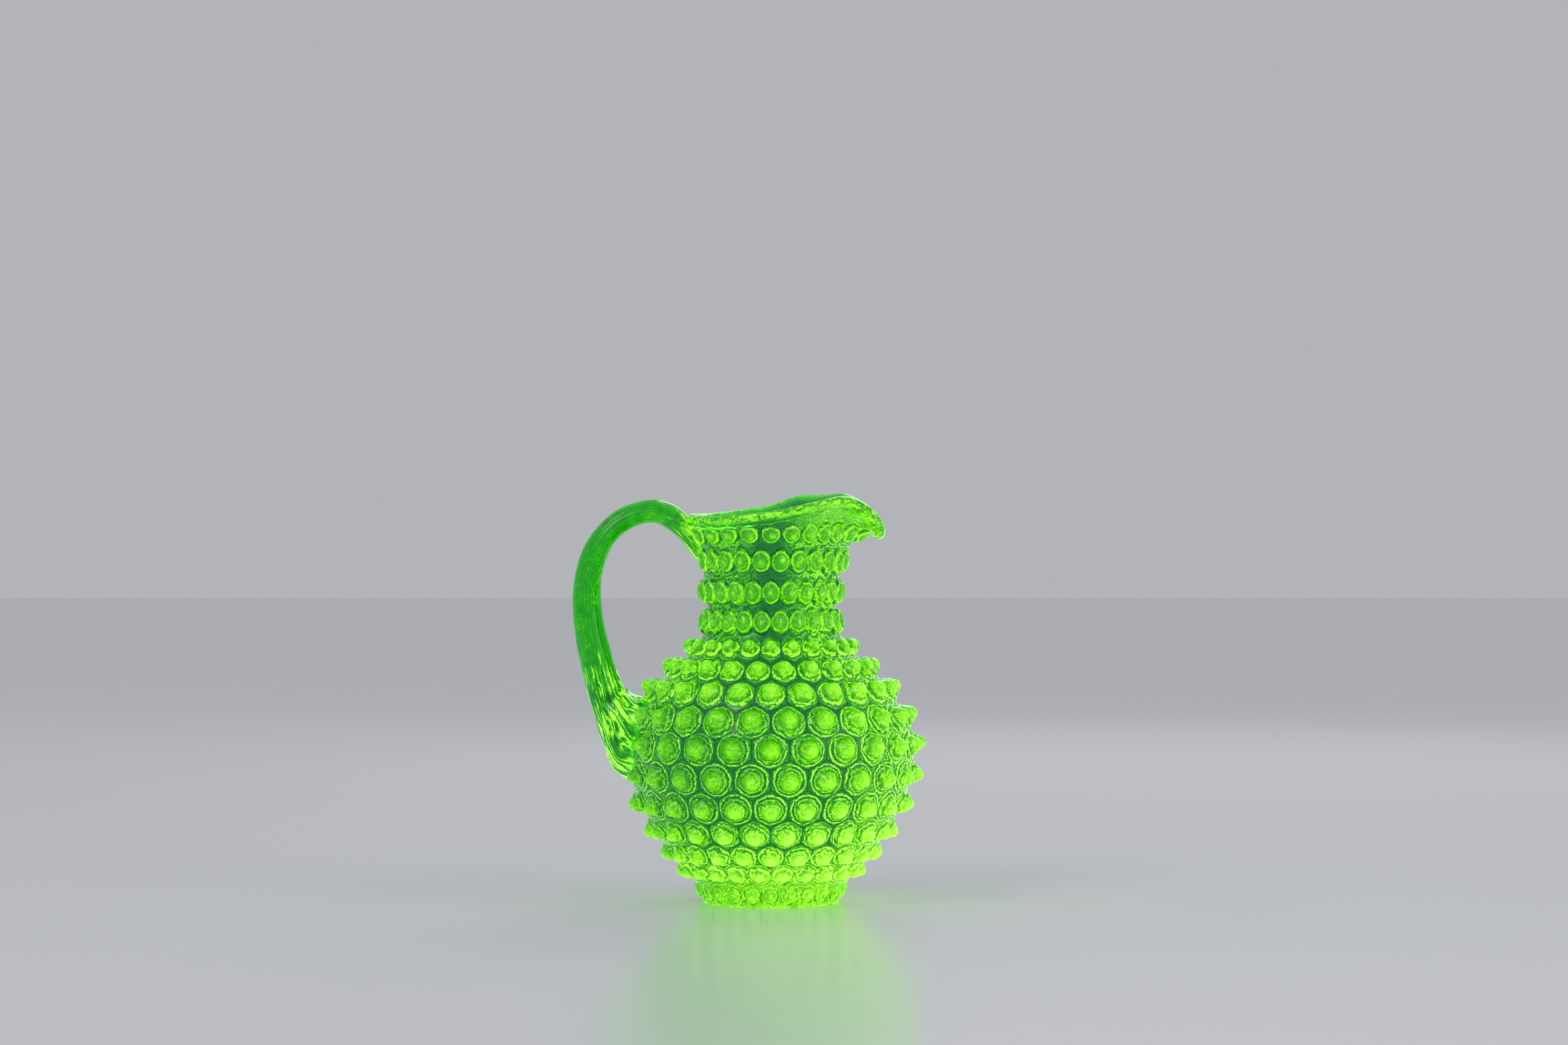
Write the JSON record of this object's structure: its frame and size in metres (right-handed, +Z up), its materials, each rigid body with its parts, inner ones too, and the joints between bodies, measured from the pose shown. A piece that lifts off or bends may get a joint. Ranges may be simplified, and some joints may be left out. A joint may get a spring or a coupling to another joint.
{
  "type": "hobnail glass jug",
  "caption": "Round-bellied glass jug covered with hobnails, with a beaded neck, a hand-pulled pouring lip and one drawn loop handle.",
  "frame": {"origin": "centre of the foot's flat underside", "axes": "+Z up along the jug's axis, +X towards the pouring lip, handle towards -X, +Y to the left of someone who pours"},
  "size_m": [0.2016, 0.1768, 0.233],
  "materials": {
    "vessel_glass": "glossy",
    "handle_glass": "glossy"
  },
  "bodies": {
    "root": {"vessel": "vessel_glass", "handle": "handle_glass"}
  },
  "joints": []
}
